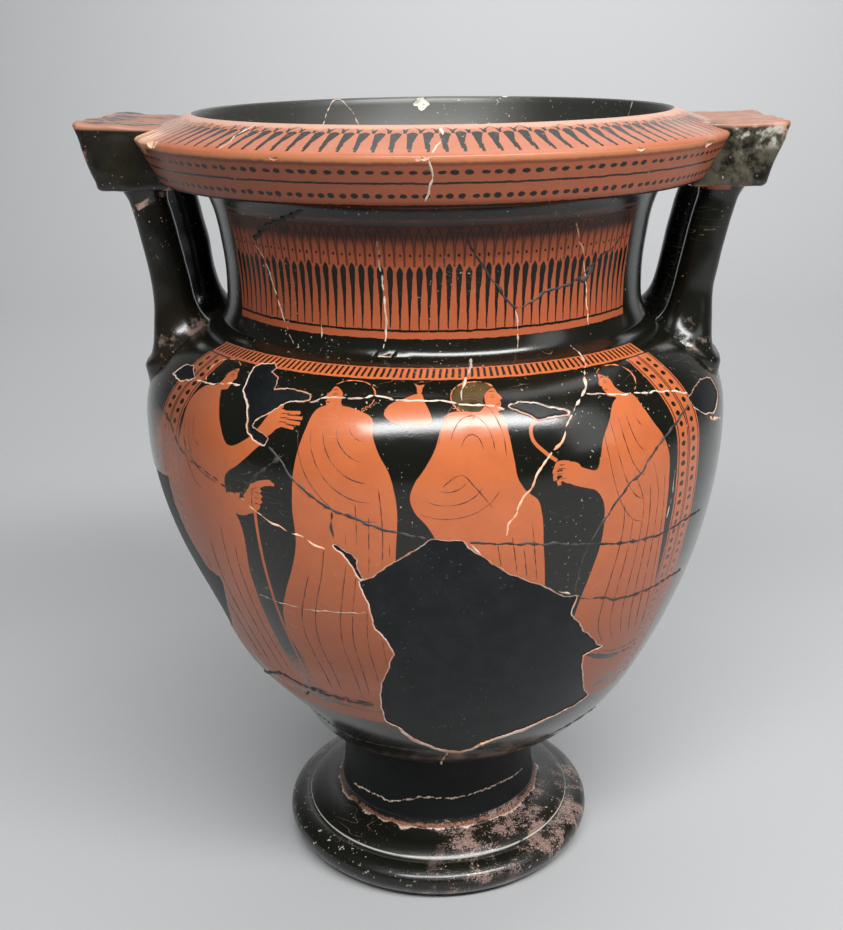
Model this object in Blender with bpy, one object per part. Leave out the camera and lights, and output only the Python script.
"""Column krater: a wheel-thrown mixing bowl with a hollow body, a broad flat mouth and two column handles.

Metres, +Z up. The origin is on the floor, at the centre of the foot. The picture side faces -Y and the
handles stand at -X and +X. Foot, body, mouth, plates and columns are fired as one, so they are one object.
"""

import math

import bmesh
import bpy
from mathutils import Matrix, Vector

# ---- driving dimensions -------------------------------------------------------------------------
HEIGHT = 0.400  # floor to the inner edge of the mouth
MOUTH_RADIUS = 0.1140  # inner edge of the mouth
RIM_RADIUS = 0.1430  # sharp outer ridge of the mouth
RIM_HEIGHT = 0.3903
LIP_RADIUS = 0.1318  # lower edge of the lip, which is cut back under the ridge
LIP_HEIGHT = 0.3690
NECK_RADIUS = 0.1040
NECK_TOP = 0.3680
NECK_BASE = 0.3020
BELLY_RADIUS = 0.1480
BELLY_HEIGHT = 0.2480
STEM_RADIUS = 0.0550
STEM_TOP = 0.0660
FOOT_RADIUS = 0.0858
FOOT_TOP = 0.0284
STEP_RADIUS = 0.0745  # arris between the foot's two degrees
STEP_HEIGHT = 0.0200
REST_RADIUS = 0.0733  # middle of the ring that the foot rests on
WALL = 0.0072

COLUMN_RADIUS = 0.0094
COLUMN_SPACING = 0.0285  # from the XZ plane to a column's axis
COLUMN_BOW = 0.0030  # how far the middle of a column bends in towards the neck
PLATE_HALF_WIDTH = 0.0425
PLATE_UNDERSIDE = 0.3660
PLATE_UNDERCUT = 0.0096  # the plate's end face runs back this far on its way down
# The two handles are made by hand and differ: side of the vessel, reach of the plate, height of the plate's
# outer edge, and distance of the columns' feet from the axis.
HANDLES = {
    "left": (-1, 0.1664, 0.3972, 0.1256),
    "right": (1, 0.1646, 0.3948, 0.1236),
}

MOUTH_TILT = 0.004  # radians: the mouth is out of level, lowest at -X
# The lower left of the body is flattened: (depth, height of its middle, reach up and down), twice.
FLAT_DIRECTION = math.radians(203)
FLAT_SPREAD = math.radians(75)
FLATS = ((0.0078, 0.152, 0.050), (0.0135, 0.100, 0.021))

SEGMENTS = 60  # round the axis
COLUMN_SIDES = 12


def clear_scene():
    for obj in list(bpy.data.objects):
        bpy.data.objects.remove(obj, do_unlink=True)


def smoothstep(start, end, value):
    share = min(1.0, max(0.0, (value - start) / (end - start)))
    return share * share * (3 - 2 * share)


def ellipse_arc(centre, half_width, half_height, start, end, steps):
    """Points (r, z) on an ellipse, from the start angle to the end angle in degrees."""
    points = []
    for i in range(steps + 1):
        angle = math.radians(start + (end - start) * i / steps)
        r = centre[0] + half_width * math.cos(angle)
        z = centre[1] + half_height * math.sin(angle)
        points.append((r, z))
    return points


# ---- the section of the wall --------------------------------------------------------------------
def mouth_outside():
    """From the inner edge over the sloping top to the ridge, and down the undercut lip to the neck."""
    return [
        (MOUTH_RADIUS, HEIGHT - 0.0010),
        (MOUTH_RADIUS + 0.0014, HEIGHT),
        (RIM_RADIUS - 0.0014, RIM_HEIGHT + 0.0008),
        (RIM_RADIUS, RIM_HEIGHT - 0.0008),
        (LIP_RADIUS + 0.0006, LIP_HEIGHT + 0.0010),
        (LIP_RADIUS - 0.0012, LIP_HEIGHT),
        (NECK_RADIUS + 0.0100, NECK_TOP),
    ]


def neck_outside():
    return [
        (NECK_RADIUS + 0.0076, NECK_TOP - 0.0040),
        (NECK_RADIUS + 0.0012, NECK_TOP - 0.0300),
        (NECK_RADIUS, NECK_BASE + 0.0180),
        (NECK_RADIUS + 0.0008, NECK_BASE + 0.0060),
        (NECK_RADIUS + 0.0028, NECK_BASE),
    ]


def body_outside():
    return [
        (0.1150, NECK_BASE - 0.0018),
        (0.1240, NECK_BASE - 0.0056),
        (0.1320, NECK_BASE - 0.0112),
        (0.1382, NECK_BASE - 0.0180),
        (0.1438, NECK_BASE - 0.0275),
        (0.1472, NECK_BASE - 0.0395),
        (BELLY_RADIUS, BELLY_HEIGHT),
        (0.1472, BELLY_HEIGHT - 0.0170),
        (0.1445, BELLY_HEIGHT - 0.0370),
        (0.1388, BELLY_HEIGHT - 0.0630),
        (0.1302, BELLY_HEIGHT - 0.0890),
        (0.1190, BELLY_HEIGHT - 0.1150),
        (0.1045, STEM_TOP + 0.0410),
        (0.0935, STEM_TOP + 0.0275),
        (0.0835, STEM_TOP + 0.0182),
        (0.0725, STEM_TOP + 0.0114),
        (0.0625, STEM_TOP + 0.0060),
        (0.0570, STEM_TOP + 0.0016),
    ]


def foot_outside():
    """The stem, a cushion-shaped upper degree ending in an arris, and a rounder lower degree."""
    stem = [
        (STEM_RADIUS - 0.0002, STEM_TOP - 0.0060),
        (STEM_RADIUS, FOOT_TOP + 0.0016),
        (STEM_RADIUS + 0.0018, FOOT_TOP - 0.0004),
        (STEM_RADIUS + 0.0020, FOOT_TOP - 0.0018),
    ]
    upper_degree = [
        (STEM_RADIUS + 0.0036, FOOT_TOP - 0.0026),
        (0.0655, FOOT_TOP - 0.0036),
        (0.0705, FOOT_TOP - 0.0055),
        (STEP_RADIUS - 0.0006, STEP_HEIGHT + 0.0008),
        (STEP_RADIUS, STEP_HEIGHT),
        (STEP_RADIUS - 0.0008, STEP_HEIGHT - 0.0014),
    ]
    width = FOOT_RADIUS - REST_RADIUS
    middle = 0.0118
    shoulder = ellipse_arc((REST_RADIUS, middle), width, 0.0074, 76, 0, 4)
    underside = ellipse_arc((REST_RADIUS, middle), width, middle, -28, -90, 3)
    return stem + upper_degree + shoulder + underside


def foot_inside():
    """The hollow under the foot, from the resting ring in to the axis."""
    return [
        (REST_RADIUS - 0.0050, 0.0),
        (REST_RADIUS - 0.0080, 0.0030),
        (0.0540, 0.0160),
        (STEM_RADIUS - 0.0095, 0.0300),
        (STEM_RADIUS - 0.0105, STEM_TOP - 0.0130),
        (STEM_RADIUS - 0.0185, STEM_TOP - 0.0045),
        (0.0, STEM_TOP - 0.0030),
    ]


def bowl_inside():
    """From the middle of the bowl's floor up the inner wall to the mouth."""
    return [
        (0.0, STEM_TOP + 0.0075),
        (0.0300, STEM_TOP + 0.0083),
        (0.0560, STEM_TOP + 0.0132),
        (0.0780, STEM_TOP + 0.0262),
        (0.0930, STEM_TOP + 0.0430),
        (0.1105, BELLY_HEIGHT - 0.1130),
        (0.1240, BELLY_HEIGHT - 0.0830),
        (0.1335, BELLY_HEIGHT - 0.0540),
        (0.1385, BELLY_HEIGHT - 0.0270),
        (BELLY_RADIUS - WALL, BELLY_HEIGHT),
        (0.1390, NECK_BASE - 0.0370),
        (0.1320, NECK_BASE - 0.0215),
        (0.1190, NECK_BASE - 0.0120),
        (NECK_RADIUS - WALL + 0.0012, NECK_BASE + 0.0010),
        (NECK_RADIUS - WALL, NECK_BASE + 0.0180),
        (NECK_RADIUS - WALL + 0.0030, NECK_TOP - 0.0230),
        (NECK_RADIUS - WALL + 0.0088, NECK_TOP - 0.0010),
        (MOUTH_RADIUS - 0.0016, HEIGHT - 0.0110),
    ]


# ---- what the hand and the kiln did -------------------------------------------------------------
def flattened(point):
    """Pushes the lower left of the wall in, inside and out alike."""
    radius = math.hypot(point.x, point.y)
    if radius < 1e-6:
        return point
    turn = math.remainder(math.atan2(point.y, point.x) - FLAT_DIRECTION, math.tau)
    if abs(turn) >= FLAT_SPREAD:
        return point
    depth = sum(d * math.exp(-(((point.z - middle) / reach) ** 2)) for d, middle, reach in FLATS)
    depth *= smoothstep(STEM_TOP, STEM_TOP + 0.014, point.z) * smoothstep(0.0, 0.070, radius)
    depth *= math.cos(0.5 * math.pi * turn / FLAT_SPREAD) ** 2
    share = 1 - depth / radius
    return Vector((point.x * share, point.y * share, point.z))


def tilted(point):
    """Leans the mouth and the handles' heads, and leaves the body and the foot upright."""
    lean = MOUTH_TILT * point.x * smoothstep(NECK_BASE, LIP_HEIGHT, point.z)
    return Vector((point.x, point.y, point.z + lean))


def new_object(name, build):
    mesh = bpy.data.meshes.new(name)
    bm = bmesh.new()
    build(bm)
    bmesh.ops.recalc_face_normals(bm, faces=bm.faces)
    for vert in bm.verts:
        vert.co = tilted(vert.co)
    bm.to_mesh(mesh)
    bm.free()
    obj = bpy.data.objects.new(name, mesh)
    bpy.context.collection.objects.link(obj)
    return obj


# ---- shapes -------------------------------------------------------------------------------------
def thrown_wall(bm):
    """The wheel-thrown vessel: one section, spun a full turn round the axis."""
    outside = mouth_outside() + neck_outside() + body_outside() + foot_outside()
    section = bowl_inside() + outside + foot_inside()
    verts = [bm.verts.new((r, 0.0, z)) for r, z in section]
    edges = [bm.edges.new(pair) for pair in zip(verts, verts[1:])]
    bmesh.ops.spin(
        bm,
        geom=verts + edges,
        axis=(0, 0, 1),
        cent=(0, 0, 0),
        angle=math.tau,
        steps=SEGMENTS,
        use_merge=True,
    )
    bmesh.ops.remove_doubles(bm, verts=bm.verts, dist=1e-6)
    for vert in bm.verts:
        vert.co = flattened(vert.co)


def column(side, row, foot_reach):
    """A round column from inside the shoulder up into the plate, with its clay smoothed out at the foot."""
    foot = Vector((side * foot_reach, COLUMN_SPACING * row, NECK_BASE - 0.0160))
    head = Vector((side * 0.1385, COLUMN_SPACING * row, PLATE_UNDERSIDE + 0.0050))
    steps = 7

    def build(bm):
        rings = []
        for i in range(steps + 1):
            t = i / steps
            middle = foot.lerp(head, t)
            middle.x -= side * COLUMN_BOW * math.sin(math.pi * t)
            radius = COLUMN_RADIUS + 0.0030 * (1 - smoothstep(0.0, 0.4, t))
            ring = bmesh.ops.create_circle(
                bm, segments=COLUMN_SIDES, radius=radius, matrix=Matrix.Translation(middle)
            )
            rings.append(list({e for v in ring["verts"] for e in v.link_edges}))
        for lower, upper in zip(rings, rings[1:]):
            bmesh.ops.bridge_loops(bm, edges=lower + upper)
        bmesh.ops.contextual_create(bm, geom=rings[0])
        bmesh.ops.contextual_create(bm, geom=rings[-1])

    return build


def plate(side, reach, top):
    """A flat block that carries the mouth outwards over the columns."""
    inner = 0.1205
    inner_top = 0.3945  # just under the sloping top of the mouth

    def build(bm):
        bmesh.ops.create_cube(bm, size=1.0)
        for vert in bm.verts:
            outer = vert.co.x * side > 0
            upper = vert.co.z > 0
            x = (reach if upper else reach - PLATE_UNDERCUT) if outer else inner
            y = math.copysign(PLATE_HALF_WIDTH, vert.co.y)
            z = (top if outer else inner_top) if upper else PLATE_UNDERSIDE
            vert.co = (side * x, y, z)
        corners = [e for e in bm.edges if all(abs(v.co.x) > 0.15 for v in e.verts)]
        corners = [e for e in corners if abs(e.verts[0].co.z - e.verts[1].co.z) > 0.01]
        bmesh.ops.bevel(
            bm,
            geom=corners,
            offset=0.0045,
            offset_type="OFFSET",
            segments=2,
            profile=0.5,
            affect="EDGES",
            material=-1,
        )

    return build


def join(target, other):
    union = target.modifiers.new(other.name, "BOOLEAN")
    union.operation = "UNION"
    union.solver = "EXACT"
    union.object = other
    other.hide_render = True
    other.display_type = "WIRE"


def black_gloss():
    material = bpy.data.materials.new("black_gloss")
    material.use_nodes = True
    shader = material.node_tree.nodes["Principled BSDF"]
    shader.inputs["Base Color"].default_value = (0.018, 0.016, 0.014, 1)
    shader.inputs["Roughness"].default_value = 0.28
    shader.inputs["Metallic"].default_value = 0.0
    return material


def build_krater():
    krater = new_object("krater", thrown_wall)
    for name, (side, reach, top, foot_reach) in HANDLES.items():
        join(krater, new_object(f"{name}_plate", plate(side, reach, top)))
        for place, row in (("front", -1), ("back", 1)):
            join(krater, new_object(f"{name}_{place}_column", column(side, row, foot_reach)))
    krater.data.materials.append(black_gloss())
    krater.data.shade_smooth()
    krater.data.set_sharp_from_angle(angle=math.radians(35))


clear_scene()
build_krater()
